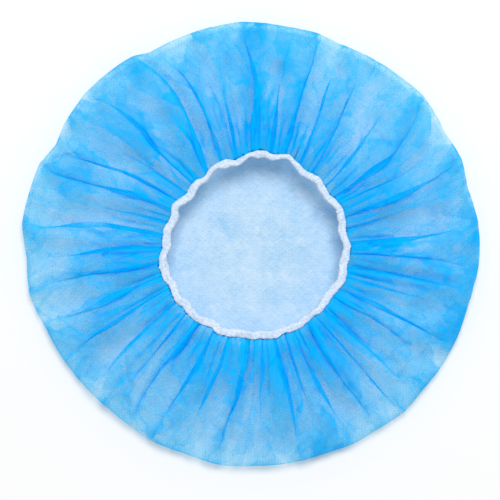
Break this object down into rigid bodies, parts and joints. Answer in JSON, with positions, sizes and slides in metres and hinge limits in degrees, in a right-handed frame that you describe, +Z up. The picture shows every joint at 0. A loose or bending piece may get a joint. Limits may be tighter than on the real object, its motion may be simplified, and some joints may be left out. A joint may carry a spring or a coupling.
{
  "type": "disposable bouffant hair cap",
  "caption": "Round bouffant hair cap of thin non-woven cloth, pleated into a white folded elastic round a wide opening, lying open on its flat crown.",
  "frame": {"origin": "under the middle of the cap's outline, at the level of the table that its crown rests on", "axes": "+Z up out of the opening, +X towards the right of the picture, +Y towards its top"},
  "size_m": [0.3204, 0.3112, 0.0359],
  "materials": {
    "nonwoven_cloth": "thin translucent spun-bonded polypropylene with a fine embossed diamond pattern, sky blue",
    "white_elastic": "soft white folded elastic, slightly fuzzy, matt"
  },
  "bodies": {
    "root": {"cap_cloth": "nonwoven_cloth", "elastic_band": "white_elastic"}
  },
  "joints": []
}
